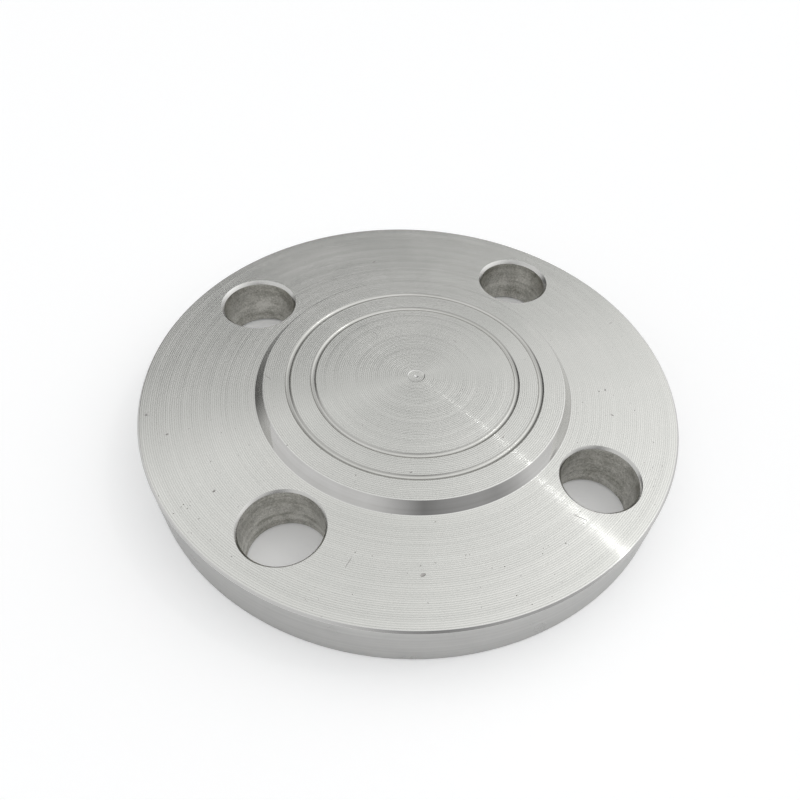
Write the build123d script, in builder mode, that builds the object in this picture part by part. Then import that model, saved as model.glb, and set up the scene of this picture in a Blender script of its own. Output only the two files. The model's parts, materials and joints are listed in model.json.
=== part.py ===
"""Blind flange: a one-piece machined disc that closes the end of a pipe.

A round plate with a raised gasket face on its upper side, two concentric
grooves cut in that face, a shallow centre mark from facing, and four
chamfered bolt holes straddling the centre lines. The disc is turned from one
forging, so the whole object is a single solid.

Millimetres. Origin: centre of the flat back face. +Z: towards the raised face.
"""

from build123d import *
import os

# ---- driving dimensions ------------------------------------------------------
outside_diameter = 115.0            # NPS 1 1/4 (DN 32), class 150
plate_thickness = 11.9              # back face to the plain face around the raised face
rim_chamfer_top = 0.45
rim_chamfer_back = 0.40

raised_face_height = 2.4
raised_face_top_diameter = 64.6     # flat sealing surface
raised_face_base_diameter = 68.3    # foot of the bevel
raised_face_root_radius = 0.10      # nose radius of the turning tool
raised_face_edge_radius = 0.06

groove_width = 1.28                 # round-bottomed grooves ("water lines") in the gasket face
groove_depth = 0.35
groove_mean_radii = (21.85, 27.10)

centre_mark_diameter = 3.8          # shallow dish left where facing ends
centre_mark_depth = 0.12
centre_point_diameter = 0.9         # point of the centre drill, measured at the dish floor
centre_point_depth = 0.45           # below the raised face

bolt_circle_diameter = 88.9
bolt_hole_diameter = 15.9
bolt_hole_count = 4
bolt_hole_start_angle = 180 / bolt_hole_count   # half a pitch: holes straddle the centre lines
bolt_hole_chamfer = 0.55

# ---- derived -----------------------------------------------------------------
rim_radius = outside_diameter / 2
face_top_radius = raised_face_top_diameter / 2
face_base_radius = raised_face_base_diameter / 2
face_z = plate_thickness + raised_face_height   # height of the sealing surface
centre_mark_radius = centre_mark_diameter / 2
centre_mark_floor_z = face_z - centre_mark_depth
bolt_hole_radius = bolt_hole_diameter / 2

# ---- the disc ----------------------------------------------------------------
# Turned sections are drawn on Plane.XZ as (radius, height) and revolved about Z.
with BuildPart() as blind_flange_disc:
    # plate and raised face, as one half section
    with BuildSketch(Plane.XZ) as half_section:
        with BuildLine():
            Polyline(
                (0, 0),
                (rim_radius - rim_chamfer_back, 0),
                (rim_radius, rim_chamfer_back),
                (rim_radius, plate_thickness - rim_chamfer_top),
                (rim_radius - rim_chamfer_top, plate_thickness),
                (face_base_radius, plate_thickness),
                (face_top_radius, face_z),
                (0, face_z),
                (0, 0),
            )
        make_face()
        # round the section vertex nearest each point; the second pick is made
        # after the first fillet, so the order matters
        for near_point, radius in (
            ((face_base_radius, 0, plate_thickness), raised_face_root_radius),
            ((face_top_radius, 0, face_z), raised_face_edge_radius),
        ):
            corner = half_section.vertices().sort_by_distance(near_point)[0]
            fillet(corner, radius=radius)
    revolve(axis=Axis.Z)

    # round-bottomed grooves run round the gasket face
    with BuildSketch(Plane.XZ):
        for mean_radius in groove_mean_radii:
            inner_edge = (mean_radius - groove_width / 2, face_z)
            outer_edge = (mean_radius + groove_width / 2, face_z)
            with BuildLine():
                ThreePointArc(inner_edge, (mean_radius, face_z - groove_depth), outer_edge)
                Line(outer_edge, inner_edge)
            make_face()
    revolve(axis=Axis.Z, mode=Mode.SUBTRACT)

    # centre mark: a shallow dish with a 45 degree edge and the drill point at its middle
    with BuildSketch(Plane.XZ):
        with BuildLine():
            Polyline(
                (0, face_z),
                (0, face_z - centre_point_depth),
                (centre_point_diameter / 2, centre_mark_floor_z),
                (centre_mark_radius - centre_mark_depth, centre_mark_floor_z),
                (centre_mark_radius, face_z),
                (0, face_z),
            )
        make_face()
    revolve(axis=Axis.Z, mode=Mode.SUBTRACT)

    # bolt holes, drilled through the plate
    with BuildSketch(Plane.XY):
        with PolarLocations(
            bolt_circle_diameter / 2, bolt_hole_count, start_angle=bolt_hole_start_angle
        ):
            Circle(bolt_hole_radius)
    extrude(amount=plate_thickness, mode=Mode.SUBTRACT)

    # both mouths of each hole are chamfered; only they have the hole's radius
    hole_mouths = (
        blind_flange_disc.edges()
        .filter_by(GeomType.CIRCLE)
        .filter_by(lambda edge: abs(edge.radius - bolt_hole_radius) < 1e-4)
    )
    chamfer(hole_mouths, length=bolt_hole_chamfer)

blind_flange_disc.part.label = "blind_flange_disc"

os.makedirs("parts", exist_ok=True)
export_step(blind_flange_disc.part, "parts/blind_flange_disc.step")
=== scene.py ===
"""Blind flange: one machined stainless steel disc.

The disc is turned about the Z axis. Its back lies at z = 0, and the raised face with
its two grooves points up (+Z). It is one closed mesh with the sizes of the CAD disc,
plus tool marks, softened edges, bored hole walls and a few knocks.
Lengths are in millimetres until a mesh is built or a node needs metres.
"""

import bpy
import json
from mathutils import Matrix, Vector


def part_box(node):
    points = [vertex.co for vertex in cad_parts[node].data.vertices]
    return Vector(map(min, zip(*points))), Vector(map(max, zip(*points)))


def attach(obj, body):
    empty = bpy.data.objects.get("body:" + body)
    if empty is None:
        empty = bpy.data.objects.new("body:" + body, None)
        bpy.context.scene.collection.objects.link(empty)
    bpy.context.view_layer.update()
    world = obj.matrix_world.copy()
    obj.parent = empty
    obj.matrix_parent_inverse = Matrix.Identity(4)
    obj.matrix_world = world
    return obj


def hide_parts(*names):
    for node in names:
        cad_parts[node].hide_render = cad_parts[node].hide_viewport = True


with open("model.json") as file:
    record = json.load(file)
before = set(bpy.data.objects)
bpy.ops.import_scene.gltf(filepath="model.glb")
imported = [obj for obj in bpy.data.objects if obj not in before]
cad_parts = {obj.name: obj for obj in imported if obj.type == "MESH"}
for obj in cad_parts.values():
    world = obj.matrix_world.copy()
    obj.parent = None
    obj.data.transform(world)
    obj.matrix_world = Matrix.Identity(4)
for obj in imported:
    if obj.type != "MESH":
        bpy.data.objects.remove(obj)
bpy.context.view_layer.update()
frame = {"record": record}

import json
import math
from functools import cached_property

import bpy
import numpy as np
from mathutils import Matrix, Vector

NODE = "blind_flange_disc"
MM = 0.001
rng = np.random.default_rng(115)

# Material slots
PLATE, RAISED, BEVEL, RIM, EDGE, BORE, GROOVE, BACK, NICK, MOUTH = range(10)
FLAT_SHADED = (PLATE, RAISED, BACK)

# ------------------------------------------------------------------ sizes, in mm
box_low, box_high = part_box(NODE)
RIM_R = box_high.x * 1000.0
Z_RAISED = box_high.z * 1000.0
Z_BACK = box_low.z * 1000.0
RAISED_H = 2.4
Z_PLATE = Z_RAISED - RAISED_H

RAISED_TOP_R = 32.3
RAISED_FOOT_R = 34.15
RAISED_LEAD = 0.06      # the faced part stops this far inside the edge
RAISED_DROP = 0.02      # height of the broken edge
BEVEL_STOPS = (0.03, 0.05, 0.5, 0.94, 0.97)     # share of the way down the flank
BEVEL_SLOPE = math.atan2(RAISED_H, RAISED_FOOT_R - RAISED_TOP_R)
FOOT_FILLET_R = 0.10
FOOT_TANGENT = FOOT_FILLET_R * math.tan(BEVEL_SLOPE / 2)

GROOVE_RADII = (21.85, 27.10)
GROOVE_W = 1.28
GROOVE_D = 0.35
GROOVE_ARC_R = (GROOVE_W ** 2 / 4 + GROOVE_D ** 2) / (2 * GROOVE_D)
GROOVE_HALF_ANGLE = math.asin(GROOVE_W / 2 / GROOVE_ARC_R)

RIM_CHAMFER_TOP = 0.45
RIM_CHAMFER_BACK = 0.40
RIM_STEPS = 15
# Softened ends of the rim chamfers
SOFT_LEAD = 0.04        # flat metal stops this far short of the chamfer
SOFT_IN = 0.03          # then the edge runs this far along the chamfer
SOFT_DROP = 0.025       # and sinks this much

FEED = 0.42             # feed of the facing cut, mm a turn
CUSP = 0.010            # height of the crests it leaves
BACK_FEED = 2 * FEED
BACK_CUSP = 0.03

MARK_POINTS = 64        # points round a ring at the centre
FULL_POINTS = 256       # points round a full-size ring
# Centre dimple of the raised face: radius, depth, material of the strip that follows
MARK_R = 1.9
CENTRE_MARK = (
    (0.00, 0.400, EDGE), (0.16, 0.330, EDGE), (0.34, 0.200, EDGE),
    (0.46, 0.125, RAISED), (0.80, 0.128, RAISED), (1.02, 0.112, RAISED),
    (1.25, 0.124, RAISED), (1.46, 0.104, RAISED), (1.66, 0.108, RAISED),
    (1.78, 0.085, EDGE), (1.86, 0.030, EDGE),
)
# Centre dimple of the back, same columns, from its edge inwards
BACK_MARK_R = 1.4
BACK_MARK = ((BACK_MARK_R, 0.0, BACK), (1.1, 0.05, EDGE), (0.45, 0.08, EDGE), (0.0, 0.30, EDGE))

bolts = next(m for m in frame["record"]["mounts"] if m["kind"] == "bolt_pattern")
HOLE_R = bolts["dims"]["hole_r_mm"]
HOLE_CIRCLE_R = bolts["dims"]["pcd_mm"] / 2
HOLE_CHAMFERS = (0.70, 0.66, 0.46, 0.52)    # upper mouths, one for each hole
HOLE_CHAMFER_BACK = 0.50
HOLE_SOFT = 0.03        # softening where a mouth meets the wall
HOLE_POINTS = 96
WALL_RINGS = 19
FIRST_HOLE_SEED = 20
CUTTER_OVER = 1.0       # how far a cutter stands out of the metal

KNOCK_POINTS = 10
KNOCK_BANDS = 6
# Dents, then scratches: x, y, on the raised face?, length, width, depth, direction (radians)
KNOCKS = [
    (-2.1, 43.6, 0, 0.9, 0.55, 0.07, 0.4), (-8.0, -45.9, 0, 1.1, 0.7, 0.08, 0.2),
    (41.2, -8.5, 0, 0.7, 0.4, 0.06, 1.2), (40.0, -15.8, 0, 0.9, 0.35, 0.06, 2.2),
    (-43.0, -21.3, 0, 0.7, 0.5, 0.06, 0.9), (-55.7, 0.1, 0, 0.6, 0.5, 0.07, 1.6),
    (-51.6, -5.8, 0, 0.6, 0.45, 0.06, 0.1), (-6.1, -25.1, 1, 0.7, 0.35, 0.05, 0.3),
    (14.0, -19.6, 1, 0.8, 0.3, 0.05, 1.0),
    (-20.5, -41.0, 0, 2.6, 0.16, 0.035, 0.9), (24.0, -39.5, 0, 3.1, 0.14, 0.03, 2.5),
    (50.8, 12.5, 0, 1.9, 0.14, 0.03, 0.6), (-6.5, 14.5, 1, 2.2, 0.13, 0.025, 2.0),
    (-31.0, 4.6, 1, 2.5, 0.16, 0.04, 2.2),
]
SHARP_ANGLE = math.radians(24)
MIN_FACES = 50000


# ------------------------------------------------------------------ turned profile
# A ring is (radius, height, points round it, material of the strip to the next ring).
# Neighbouring rings may differ 2:1 in points. The profile runs from the centre of the
# raised face, over the rim, to the centre of the back.
def top_points(radius):
    return 64 if radius < 5 else 128 if radius < 14 else 256


def back_points(radius):
    return 64 if radius < 14 else 128


def faced(start, end, z, material, feed=FEED, depth=CUSP, points=top_points, inward=-1):
    """A faced surface: one shallow cusp a turn. `inward` is the sign of z that
    points into the metal, so the crests stand at z or just below."""
    turns = max(1, round(abs(end - start) / feed))
    edges = np.linspace(start, end, turns + 1)
    step = edges[1] - edges[0]
    rings = []
    for k in range(turns):
        crest = edges[k] + (0 if k == 0 else step * rng.uniform(-0.04, 0.04))
        sink = inward * depth * rng.uniform(0.0, 0.18) * (k > 0)
        rings.append((crest, z + sink, points(crest), material))
        root = crest + step * rng.uniform(0.44, 0.56)
        sink = inward * depth * rng.uniform(0.75, 1.15)
        rings.append((root, z + sink, points(root), material))
    return rings


def full_rings(stations, material):
    return [(radius, z, FULL_POINTS, material) for radius, z in stations]


def centre_mark():
    return [(radius, Z_RAISED - depth, MARK_POINTS if radius else 1, material)
            for radius, depth, material in CENTRE_MARK]


def groove(middle):
    """Circular-arc groove; its last point is left to the face that follows."""
    angles = np.linspace(-GROOVE_HALF_ANGLE, GROOVE_HALF_ANGLE, 10)[:-1]
    arc = [(GROOVE_ARC_R * math.sin(a), GROOVE_D - GROOVE_ARC_R + GROOVE_ARC_R * math.cos(a))
           for a in angles]
    return full_rings([(middle + across, Z_RAISED - depth) for across, depth in arc], GROOVE)


def raised_face():
    rings = []
    start = MARK_R
    for middle in GROOVE_RADII:
        rings += faced(start, middle - GROOVE_W / 2, Z_RAISED, RAISED)
        rings += groove(middle)
        start = middle + GROOVE_W / 2
    return rings + faced(start, RAISED_TOP_R - RAISED_LEAD, Z_RAISED, RAISED)


def bevel():
    """Broken edge, straight flank and a fillet at the foot."""
    edge = [(RAISED_TOP_R - RAISED_LEAD, Z_RAISED), (RAISED_TOP_R, Z_RAISED - RAISED_DROP)]
    flank = [(RAISED_TOP_R + t * (RAISED_FOOT_R - RAISED_TOP_R), Z_RAISED - t * RAISED_H)
             for t in BEVEL_STOPS]
    fillet = [(RAISED_FOOT_R + FOOT_TANGENT - FOOT_FILLET_R * math.sin(a),
               Z_PLATE + FOOT_FILLET_R - FOOT_FILLET_R * math.cos(a))
              for a in np.linspace(BEVEL_SLOPE, 0.0, 5)]
    return full_rings(edge, EDGE) + full_rings(flank, BEVEL) + full_rings(fillet, EDGE)


def plate_face():
    gap = 0.02      # clear of the fillet
    return faced(RAISED_FOOT_R + FOOT_TANGENT + gap, RIM_R - RIM_CHAMFER_TOP - SOFT_LEAD,
                 Z_PLATE, PLATE)


def rim():
    """Both chamfers, and between them the faint steps of the turning tool."""
    top = Z_PLATE - RIM_CHAMFER_TOP - SOFT_LEAD
    bottom = Z_BACK + RIM_CHAMFER_BACK + SOFT_LEAD
    rings = full_rings([
        (RIM_R - RIM_CHAMFER_TOP - SOFT_LEAD, Z_PLATE),
        (RIM_R - RIM_CHAMFER_TOP + SOFT_IN, Z_PLATE - SOFT_DROP),
        (RIM_R - SOFT_DROP, Z_PLATE - RIM_CHAMFER_TOP + SOFT_IN),
    ], EDGE)
    steps = [(RIM_R, top)]
    for z in np.linspace(top, bottom, RIM_STEPS)[1:-1]:
        steps.append((RIM_R - rng.uniform(0.0, 0.006), z + rng.uniform(-0.15, 0.15)))
    rings += full_rings(steps, RIM)
    rings += full_rings([
        (RIM_R, bottom), (RIM_R - SOFT_DROP, Z_BACK + RIM_CHAMFER_BACK - SOFT_IN),
    ], EDGE)
    inner = RIM_R - RIM_CHAMFER_BACK + SOFT_IN
    return rings + [(inner, Z_BACK + SOFT_DROP, back_points(inner), EDGE)]


def back_face():
    rings = faced(RIM_R - RIM_CHAMFER_BACK - SOFT_LEAD, BACK_MARK_R, Z_BACK, BACK,
                  feed=BACK_FEED, depth=BACK_CUSP, points=back_points, inward=+1)
    return rings + [(radius, Z_BACK + depth, MARK_POINTS if radius else 1, material)
                    for radius, depth, material in BACK_MARK]


# ------------------------------------------------------------------ meshes
def strip(first, count, next_first, next_count):
    """Faces between two neighbouring rings, given by first vertex and point count."""
    def here(i):
        return first + i % count

    def there(i):
        return next_first + i % next_count

    faces = []
    if count == 1:
        faces = [(first, there(i), there(i + 1)) for i in range(next_count)]
    elif next_count == 1:
        faces = [(here(i), next_first, here(i + 1)) for i in range(count)]
    elif count == next_count:
        faces = [(here(i), there(i), there(i + 1), here(i + 1)) for i in range(count)]
    elif next_count == 2 * count:
        for i in range(count):
            left, middle, right = (there(2 * i + k) for k in range(3))
            faces += [(here(i), left, middle), (here(i), middle, here(i + 1)),
                      (here(i + 1), middle, right)]
    elif count == 2 * next_count:
        for i in range(next_count):
            left, middle, right = (here(2 * i + k) for k in range(3))
            faces += [(left, there(i), middle), (middle, there(i), there(i + 1)),
                      (middle, there(i + 1), right)]
    else:
        raise ValueError((count, next_count))
    return faces


def revolve(rings):
    """Closed shape from rings: vertices, faces and a material for each face."""
    verts, firsts, faces, slots = [], [], [], []
    for radius, z, count, _ in rings:
        firsts.append(len(verts))
        angles = 2 * math.pi * np.arange(count) / count
        verts.extend(zip(radius * np.cos(angles), radius * np.sin(angles), np.full(count, z)))
    for k in range(len(rings) - 1):
        new = strip(firsts[k], rings[k][2], firsts[k + 1], rings[k + 1][2])
        faces += new
        slots += [rings[k][3]] * len(new)
    return np.array(verts, float), faces, slots


def joined(parts):
    all_verts, all_faces, all_slots, offset = [], [], [], 0
    for verts, faces, slots in parts:
        all_verts.append(verts)
        all_faces += [tuple(i + offset for i in face) for face in faces]
        all_slots += slots
        offset += len(verts)
    return np.concatenate(all_verts), all_faces, all_slots


def mesh_object(name, verts, faces, slots):
    mesh = bpy.data.meshes.new(name)
    mesh.from_pydata((np.asarray(verts) * MM).tolist(), [], faces)
    mesh.polygons.foreach_set("material_index", np.array(slots, np.int32))
    mesh.validate(verbose=False)
    mesh.update()
    obj = bpy.data.objects.new(name, mesh)
    bpy.context.scene.collection.objects.link(obj)
    return obj


# ------------------------------------------------------------------ cutters
def drill(angle, seed, chamfer):
    """The solid that leaves a bolt hole with both countersinks. The wall carries
    the drill's own rings, deeper on one side of the hole."""
    hole_rng = np.random.default_rng(seed)
    heights = np.linspace(Z_PLATE - chamfer - HOLE_SOFT,
                          Z_BACK + HOLE_CHAMFER_BACK + HOLE_SOFT, WALL_RINGS)
    heights[1:-1] += hole_rng.uniform(-0.12, 0.12, WALL_RINGS - 2)
    rough = hole_rng.uniform(0.0, 1.0, WALL_RINGS)
    stations = [
        (0.0, Z_PLATE + CUTTER_OVER, MOUTH),
        (HOLE_R + chamfer + CUTTER_OVER, Z_PLATE + CUTTER_OVER, MOUTH),
        (HOLE_R + HOLE_SOFT, Z_PLATE - chamfer + HOLE_SOFT, MOUTH),
        *((HOLE_R, z, BORE) for z in heights),
        (HOLE_R + HOLE_SOFT, Z_BACK + HOLE_CHAMFER_BACK - HOLE_SOFT, MOUTH),
        (HOLE_R + HOLE_CHAMFER_BACK + CUTTER_OVER, Z_BACK - CUTTER_OVER, MOUTH),
        (0.0, Z_BACK - CUTTER_OVER, MOUTH),
    ]
    verts, faces, slots = revolve([(radius, z, HOLE_POINTS if radius else 1, material)
                                   for radius, z, material in stations])
    # score marks: the wall is a little wider where a chip was dragged round
    side = math.radians(hole_rng.uniform(0, 360))
    width = hole_rng.uniform(0.7, 1.3)
    wall_start = 1 + 2 * HOLE_POINTS
    for k in range(1, WALL_RINGS - 1):
        rows = slice(wall_start + k * HOLE_POINTS, wall_start + (k + 1) * HOLE_POINTS)
        bearing = np.arctan2(verts[rows, 1], verts[rows, 0])
        near = np.exp(-((np.angle(np.exp(1j * (bearing - side)))) / width) ** 2)
        grow = 0.010 + 0.045 * rough[k] * near
        verts[rows, :2] *= ((HOLE_R + grow) / HOLE_R)[:, None]
    verts[:, 0] += HOLE_CIRCLE_R * math.cos(math.radians(angle))
    verts[:, 1] += HOLE_CIRCLE_R * math.sin(math.radians(angle))
    return verts, faces, slots


def knock(x, y, on_raised, length, width, depth, direction):
    """A small dent or scratch: a flattened ball sunk into the face."""
    rings = [(0.0, 1.0, 1, NICK)]
    for k in range(1, KNOCK_BANDS):
        a = math.pi * k / KNOCK_BANDS
        rings.append((math.sin(a), math.cos(a), KNOCK_POINTS, NICK))
    rings.append((0.0, -1.0, 1, NICK))
    verts, faces, slots = revolve(rings)
    verts = verts * np.array([length / 2, width / 2, depth])
    cos, sin = math.cos(direction), math.sin(direction)
    verts = verts @ np.array([[cos, sin, 0], [-sin, cos, 0], [0, 0, 1]])
    return verts + np.array([x, y, Z_RAISED if on_raised else Z_PLATE]), faces, slots


disc = mesh_object("flange_disc_machined", *revolve(
    centre_mark() + raised_face() + bevel() + plate_face() + rim() + back_face()))
cutter = mesh_object("cutters", *joined(
    [drill(45.0 + 90.0 * k, FIRST_HOLE_SEED + k, chamfer)
     for k, chamfer in enumerate(HOLE_CHAMFERS)]
    + [knock(*entry) for entry in KNOCKS]))
cut = disc.modifiers.new("drilled", "BOOLEAN")
cut.operation = "DIFFERENCE"
cut.solver = "EXACT"
cut.object = cutter
cut.material_mode = "INDEX"


# ------------------------------------------------------------------ node building
class Nodes:
    """Short hand for filling a node tree. Any value may be a number or a socket."""

    def __init__(self, tree):
        self.tree = tree
        tree.nodes.clear()

    def feed(self, socket, value):
        if isinstance(value, bpy.types.NodeSocket):
            self.tree.links.new(value, socket)
        else:
            socket.default_value = value

    def node(self, kind, props=None, **inputs):
        """New node; an underscore in an input's name stands for a space."""
        new = self.tree.nodes.new(kind)
        for key, value in (props or {}).items():
            setattr(new, key, value)
        for key, value in inputs.items():
            self.feed(new.inputs[key.replace("_", " ")], value)
        return new

    def math(self, operation, *values):
        """Math node; inputs that are not given are set to 0."""
        new = self.node("ShaderNodeMath", {"operation": operation})
        for i, value in enumerate((*values, 0.0, 0.0)[:3]):
            self.feed(new.inputs[i], value)
        return new.outputs[0]

    def add(self, first, second):
        return self.math("ADD", first, second)

    def times(self, first, second):
        return self.math("MULTIPLY", first, second)

    def times_add(self, value, factor, addend):
        return self.math("MULTIPLY_ADD", value, factor, addend)

    def vector(self, operation, *values, out="Vector"):
        new = self.node("ShaderNodeVectorMath", {"operation": operation})
        for i, value in enumerate(values):
            self.feed(new.inputs[i], value)
        return new.outputs[out]

    def scaled(self, vector, scale):
        new = self.node("ShaderNodeVectorMath", {"operation": "SCALE"}, Scale=scale)
        self.feed(new.inputs[0], vector)
        return new.outputs["Vector"]

    def combine(self, x, y, z):
        return self.node("ShaderNodeCombineXYZ", X=x, Y=y, Z=z).outputs[0]

    def span(self, value, over, to=(0.0, 1.0)):
        """The range `over` mapped to the range `to`, clamped."""
        return self.node("ShaderNodeMapRange", Value=value, From_Min=over[0], From_Max=over[1],
                         To_Min=to[0], To_Max=to[1]).outputs["Result"]

    def mix(self, factor, first, second):
        new = self.node("ShaderNodeMix", {"data_type": "RGBA"})
        sockets = [socket for socket in new.inputs if socket.enabled]
        for socket, value in zip(sockets, (factor, first, second)):
            self.feed(socket, value)
        return next(socket for socket in new.outputs if socket.enabled)

    def finish(self, kind, shader):
        self.tree.links.new(shader.outputs[0], self.node(kind).inputs["Surface"])


class Surface(Nodes):
    """A material. Lengths inside are millimetres."""

    def __init__(self, name):
        self.material = bpy.data.materials.new(name)
        self.material.use_nodes = True
        super().__init__(self.material.node_tree)

    @cached_property
    def position(self):
        return self.scaled(self.node("ShaderNodeTexCoord").outputs["Object"], 1000.0)

    @cached_property
    def xyz(self):
        return self.node("ShaderNodeSeparateXYZ", Vector=self.position).outputs

    @cached_property
    def flat(self):
        return self.combine(self.xyz["X"], self.xyz["Y"], 0.0)

    @cached_property
    def radius(self):
        return self.vector("LENGTH", self.flat, out="Value")

    @cached_property
    def radial(self):
        return self.vector("NORMALIZE", self.flat)

    @cached_property
    def bearing(self):
        """Cosine and sine of the bearing, as X and Y."""
        return self.node("ShaderNodeSeparateXYZ", Vector=self.radial).outputs

    def noise(self, vector, detail=2.0, rough=0.5, distort=0.0):
        return self.node("ShaderNodeTexNoise", Vector=vector, Scale=1.0, Detail=detail,
                         Roughness=rough, Distortion=distort).outputs["Fac"]

    def blotches(self, per_mm, **kind):
        return self.noise(self.scaled(self.position, per_mm), **kind)

    def lines(self, axis, step, wander, seed, detail):
        """Lines that follow the turning: noise that changes fast along `axis`
        (one feature every `step` mm) and slowly, `wander` times, round the disc."""
        return self.noise(self.combine(
            self.times_add(axis, 1.0 / step, seed),
            self.times(self.bearing["X"], wander),
            self.times(self.bearing["Y"], wander),
        ), detail=detail)

    def metal(self, color, rough, aniso, tangent, height, bump_mm, slope=None):
        """Bare metal. `height` is a 0..1 relief of `bump_mm`; `slope` tips the
        surface along the radius, across the tool's lines."""
        normal = self.node("ShaderNodeBump", Strength=1.0, Distance=bump_mm * MM,
                           Height=height).outputs[0]
        if slope is not None:
            tip = self.scaled(self.radial, slope)
            normal = self.vector("NORMALIZE", self.vector("ADD", normal, tip))
        shader = self.node("ShaderNodeBsdfPrincipled", Metallic=1.0, Anisotropic=aniso,
                           Base_Color=color, Roughness=rough, Normal=normal, Tangent=tangent)
        self.finish("ShaderNodeOutputMaterial", shader)
        return self.material


def rgb(red, green, blue):
    return (red, green, blue, 1.0)


# ------------------------------------------------------------------ materials
UP = (0.0, 0.0, 1.0)


def faced_steel(name, rough, seed, score=0.14, aniso=1.0, pitch=FEED):
    """Turned face. Inside each turn of the tool the metal is torn into scoring too
    fine to see one by one; `score` is the slope of its flanks."""
    scores_per_mm = 300.0
    burr = 0.32             # slope that the few steepest scores add
    burr_power = 9.0        # how few those are
    crest = 0.11            # slope of the tool's own rounded furrow
    dull, bright = rgb(0.655, 0.66, 0.632), rgb(0.72, 0.72, 0.692)
    # painted shade: the crest colour below darkens each crest of the tool's lines, in place of
    # their shading
    crest_shade_color, pit_color = rgb(0.605, 0.608, 0.582), rgb(0.30, 0.29, 0.27)

    s = Surface(name)
    score_number = s.math("FLOOR", s.times(s.radius, scores_per_mm))
    lot = s.node("ShaderNodeTexWhiteNoise", {"noise_dimensions": "1D"}, W=score_number)
    signed = s.times_add(lot.outputs["Value"], 2.0, -1.0)
    steep = s.times(s.math("SIGN", signed),
                    s.math("POWER", s.math("ABSOLUTE", signed), burr_power))
    fine = s.add(s.times(signed, score), s.times(steep, burr))
    # place within one turn of the tool, 0..1, drifting a little with the radius
    drift = s.lines(s.radius, step=9.0, wander=0.5, seed=seed, detail=1.0)
    drifted = s.times_add(drift, 0.15 * pitch, s.radius)
    turn = s.math("FRACT", s.math("DIVIDE", drifted, pitch))
    wave = s.times_add(turn, 2.0, -1.0)
    # sets how steep the furrows are and how strong the painted crest shade is, varying round
    # the disc
    furrow_and_crest_shade_strength = s.lines(s.radius, step=3.0, wander=0.5, seed=seed + 31, detail=2.0)
    furrow = s.times(wave, s.span(furrow_and_crest_shade_strength, over=(0.25, 0.75), to=(0.92 * crest, 1.05 * crest)))
    smear = s.blotches(0.055, detail=4.0, rough=0.55, distort=0.6)
    pit = s.span(s.blotches(1.9, detail=1.0), over=(0.775, 0.81))

    color = s.mix(s.span(smear, over=(0.30, 0.70)), dull, bright)
    # painted shade: each furrow's crest is painted darker, in place of the shading of the
    # tool's lines
    from_middle = s.math("ABSOLUTE", s.math("SUBTRACT", turn, 0.5))
    crest_shade_mask = s.times(s.span(from_middle, over=(0.18, 0.42)),
                       s.span(furrow_and_crest_shade_strength, over=(0.3, 0.7), to=(0.45, 0.65)))
    color = s.mix(crest_shade_mask, color, crest_shade_color)
    color = s.mix(pit, color, pit_color)
    roughness = s.add(s.span(smear, over=(0.35, 0.65), to=(-0.01, 0.03)), rough)
    roughness = s.times_add(pit, 0.25, roughness)
    return s.metal(color, roughness, aniso, tangent=s.radial, height=s.times(pit, -1.0),
                   bump_mm=0.006, slope=s.add(fine, furrow))


def turned_steel(name, step, rough, seed, dark, light, axis="z", aniso=0.7, bump_mm=0.003,
                 smear_rough=0.05):
    """Turned wall, bevel or chamfer, with lines that run round, one every `step` mm
    of height or (axis "r") of radius."""
    s = Surface(name)
    along = s.xyz["Z"] if axis == "z" else s.radius
    fine = s.lines(along, step=step, wander=0.8, seed=seed, detail=3.0)
    bands = s.lines(along, step=step * 6, wander=0.8, seed=seed + 13, detail=1.0)
    smear = s.blotches(0.11, detail=4.0, rough=0.6, distort=0.5)
    tone = s.add(s.times(bands, 0.5), s.times(smear, 0.5))
    color = s.mix(s.span(tone, over=(0.35, 0.65)), rgb(*dark), rgb(*light))
    roughness = s.add(s.span(smear, over=(0.35, 0.65), to=(-smear_rough / 2, smear_rough)),
                      s.span(bands, over=(0.3, 0.7), to=(-0.02, 0.02)))
    return s.metal(color, s.add(roughness, rough), aniso, tangent=UP, height=fine,
                   bump_mm=bump_mm)


def bored_steel(name):
    """Wall of a drilled hole: torn rings, mottled by chips and coolant stains."""
    dark, light = rgb(0.31, 0.305, 0.27), rgb(0.82, 0.81, 0.77)
    s = Surface(name)
    rings = s.lines(s.xyz["Z"], step=0.16, wander=0.9, seed=37.0, detail=4.0)
    broad = s.lines(s.xyz["Z"], step=1.1, wander=1.2, seed=43.0, detail=1.0)
    grit = s.blotches(2.6, detail=3.0, rough=0.7)
    stain = s.blotches(0.30, detail=3.0, rough=0.6, distort=0.4)
    tone = s.add(s.times(grit, 0.45), s.times(stain, 0.35))
    tone = s.add(tone, s.times(broad, 0.20))
    color = s.mix(s.span(tone, over=(0.38, 0.60)), dark, light)
    roughness = s.add(s.span(grit, over=(0.3, 0.7), to=(-0.06, 0.10)), 0.32)
    height = s.add(s.times(rings, 0.6), s.times(grit, 0.4))
    return s.metal(color, roughness, aniso=0.6, tangent=UP, height=height, bump_mm=0.045)


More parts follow.
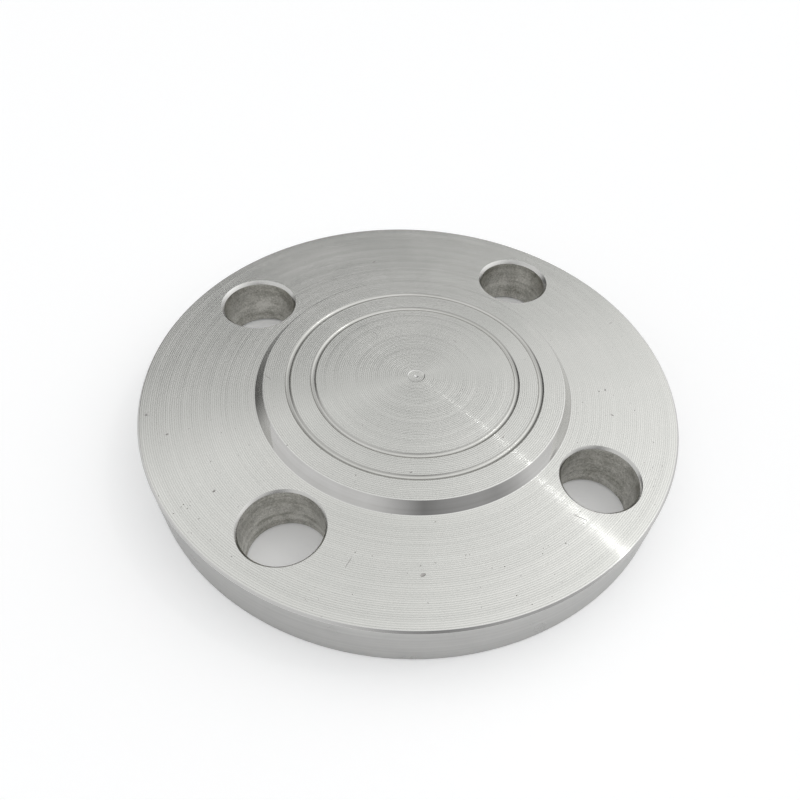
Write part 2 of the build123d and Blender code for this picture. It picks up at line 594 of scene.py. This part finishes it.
materials = {
    PLATE: faced_steel("steel_faced_plate", rough=0.17, seed=3.0),
    RAISED: faced_steel("steel_faced_gasket_seat", rough=0.17, seed=9.0),
    BEVEL: turned_steel("steel_bevel", step=0.10, rough=0.05, seed=17.0, aniso=0.5,
                        dark=(0.60, 0.595, 0.58), light=(0.68, 0.675, 0.665),
                        bump_mm=0.0006, smear_rough=0.03),
    RIM: turned_steel("steel_rim", step=0.13, rough=0.30, seed=23.0,
                      dark=(0.55, 0.55, 0.54), light=(0.65, 0.65, 0.64)),
    EDGE: turned_steel("steel_broken_edge", step=0.08, rough=0.18, seed=29.0,
                       dark=(0.62, 0.62, 0.61), light=(0.72, 0.715, 0.70), bump_mm=0.001),
    BORE: bored_steel("steel_drilled_wall"),
    MOUTH: turned_steel("steel_countersink", step=0.10, rough=0.22, seed=71.0, aniso=0.6,
                        dark=(0.66, 0.66, 0.64), light=(0.76, 0.755, 0.74),
                        bump_mm=0.004, smear_rough=0.08),
    GROOVE: turned_steel("steel_groove", axis="r", step=0.06, rough=0.20, seed=41.0,
                         dark=(0.50, 0.50, 0.475), light=(0.60, 0.597, 0.575),
                         bump_mm=0.001),
    BACK: faced_steel("steel_faced_back", rough=0.24, seed=53.0, score=0.30, aniso=0.9,
                      pitch=BACK_FEED),
    NICK: turned_steel("steel_knock", step=0.2, rough=0.42, seed=61.0, aniso=0.0,
                       dark=(0.36, 0.35, 0.34), light=(0.48, 0.47, 0.45)),
}
for slot in sorted(materials):
    disc.data.materials.append(materials[slot])
    cutter.data.materials.append(materials[slot])


def bake_cut():
    """Applies the cut, so that the piece is one plain closed mesh, and shades it."""
    bpy.context.view_layer.update()
    depsgraph = bpy.context.evaluated_depsgraph_get()
    mesh = bpy.data.meshes.new_from_object(disc.evaluated_get(depsgraph))
    mesh.name = disc.name
    disc.modifiers.clear()
    disc.data = mesh
    bpy.data.objects.remove(cutter)
    if len(mesh.polygons) < MIN_FACES:
        raise RuntimeError("the cut lost the disc")
    slots = np.zeros(len(mesh.polygons), np.int32)
    mesh.polygons.foreach_get("material_index", slots)
    mesh.polygons.foreach_set("use_smooth", ~np.isin(slots, FLAT_SHADED))
    mesh.set_sharp_from_angle(angle=SHARP_ANGLE)
    mesh.update()


bake_cut()
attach(disc, "root")
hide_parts(NODE)


# ------------------------------------------------------------------ floor
def floor_paper():
    """Near-white paper with a little painted glow, for the camera only, more clear of the disc
    than under it."""
    s = Surface("floor_paper")
    grain = s.blotches(0.8, detail=3.0)
    # painted light: camera-only glow, weaker under the disc, where the floor is seen through
    # the holes
    painted_glow = s.span(s.radius, over=(50.0, 57.0), to=(0.11, 0.22))
    seen = s.node("ShaderNodeLightPath").outputs["Is Camera Ray"]
    shader = s.node("ShaderNodeBsdfPrincipled", Roughness=0.9,
                    Base_Color=s.mix(grain, rgb(0.90, 0.90, 0.90), rgb(0.92, 0.92, 0.92)),
                    Emission_Color=rgb(0.97, 0.985, 1.0),
                    Emission_Strength=s.times(seen, painted_glow))
    s.finish("ShaderNodeOutputMaterial", shader)
    return s.material


def plain_floor():
    half = 3.0          # metres
    gap = 0.0001        # metres below the disc
    mesh = bpy.data.meshes.new("floor")
    corners = [(-half, -half, 0), (half, -half, 0), (half, half, 0), (-half, half, 0)]
    mesh.from_pydata(corners, [], [(0, 1, 2, 3)])
    floor = bpy.data.objects.new("floor", mesh)
    floor.location.z = Z_BACK * MM - gap
    bpy.context.scene.collection.objects.link(floor)
    mesh.materials.append(floor_paper())


plain_floor()

# ------------------------------------------------------------------ camera
# Seen from 53 degrees above the plate, a little off square to the holes.
# The camera's own axes in the world; it looks against the last one.
CAMERA_RIGHT = (0.972105214, -0.223664317, 0.070609673)
CAMERA_UP = (0.136845251, 0.785359210, 0.603725342)
CAMERA_BACK = (-0.190485773, -0.577221954, 0.794059183)
CAMERA_PLACE = (-0.02425346, -0.10051120, 0.11899033)     # metres

camera_data = bpy.data.cameras.new("camera")
camera_data.sensor_width = 36.0
camera_data.lens = 30.469
camera_data.shift_x = -0.05682
camera_data.shift_y = 0.08045
camera_data.clip_start = 0.01
camera = bpy.data.objects.new("camera", camera_data)
bpy.context.scene.collection.objects.link(camera)
pose = Matrix((CAMERA_RIGHT, CAMERA_UP, CAMERA_BACK)).transposed().to_4x4()
pose.translation = Vector(CAMERA_PLACE)
camera.matrix_world = pose
bpy.context.scene.camera = camera

# ------------------------------------------------------------------ light
# A soft neutral studio tent: a broad key on the right (+X), a fill on the left, and
# darker cloth behind (+Y) and low in front. Each ring is a height above the horizon,
# with (bearing from +X towards +Y, level) stops; angles are in degrees.
TENT = [
    (5.0, [(0, 0.8), (40, 0.5), (100, 0.1), (135, 0.1), (150, 0.8), (240, 0.7), (265, 0.2),
           (310, 0.2), (335, 0.8)]),
    (30.0, [(0, 1.2), (40, 1.2), (70, 0.4), (100, 0.1), (130, 0.1), (150, 0.7), (230, 0.8),
            (265, 0.3), (300, 0.8)]),
    (50.0, [(0, 1.5), (40, 1.3), (80, 0.8), (120, 1.2), (160, 0.8), (240, 0.6), (300, 0.8)]),
    (70.0, [(0, 1.2), (90, 1.1), (180, 0.9), (270, 0.9)]),
]
TENT_STRENGTH = 2.0     # ramp colours are levels divided by this
BACKDROP = rgb(0.50, 0.50, 0.495)


def tent_ring(nodes, bearing, stops):
    """One ring of the tent as a ramp round the compass, closed on its first level."""
    table = [(degrees / 360.0, level) for degrees, level in stops] + [(1.0, stops[0][1])]
    ramp = nodes.node("ShaderNodeValToRGB", Fac=bearing)
    elements = ramp.color_ramp.elements
    while len(elements) > 1:
        elements.remove(elements[-1])
    elements[0].position = table[0][0]
    for position, _ in table[1:]:
        elements.new(position)
    for element, (_, level) in zip(elements, table):
        element.color = rgb(*[level / TENT_STRENGTH] * 3)
    return ramp.outputs["Color"]


def studio_tent():
    world = bpy.data.worlds.new("studio_tent")
    bpy.context.scene.world = world
    world.use_nodes = True
    nodes = Nodes(world.node_tree)
    way = nodes.node("ShaderNodeTexCoord").outputs["Generated"]
    x, y, z = nodes.node("ShaderNodeSeparateXYZ", Vector=way).outputs
    turns = nodes.times(nodes.math("ARCTAN2", y, x), 0.5 / math.pi)
    bearing = nodes.math("FRACT", turns)
    height = nodes.times(nodes.math("ARCSINE", z), 180.0 / math.pi)
    level = tent_ring(nodes, bearing, TENT[0][1])
    for (low, _), (high, stops) in zip(TENT, TENT[1:]):
        above = nodes.span(height, over=(low, high))
        level = nodes.mix(above, level, tent_ring(nodes, bearing, stops))
    # the tent is only seen in the metal: the backdrop itself is plain
    seen = nodes.node("ShaderNodeLightPath").outputs["Is Camera Ray"]
    sky = nodes.node("ShaderNodeBackground", Strength=TENT_STRENGTH,
                     Color=nodes.mix(seen, level, BACKDROP))
    nodes.finish("ShaderNodeOutputWorld", sky)


def far_lamp(name, bearing, height, width, power):
    """A small lamp a long way off, placed in the tent by angles in degrees."""
    data = bpy.data.lights.new(name, "SUN")
    data.energy = power
    data.angle = math.radians(width)
    lamp = bpy.data.objects.new(name, data)
    turn, lift = math.radians(bearing), math.radians(height)
    way = Vector((math.cos(lift) * math.cos(turn), math.cos(lift) * math.sin(turn),
                  math.sin(lift)))
    lamp.rotation_euler = way.to_track_quat("Z", "Y").to_euler()
    bpy.context.scene.collection.objects.link(lamp)


studio_tent()
far_lamp("lamp", bearing=4.0, height=51.0, width=1.0, power=0.07)

view = bpy.context.scene.view_settings
view.view_transform = "Standard"
view.look = "None"

bpy.context.view_layer.update()
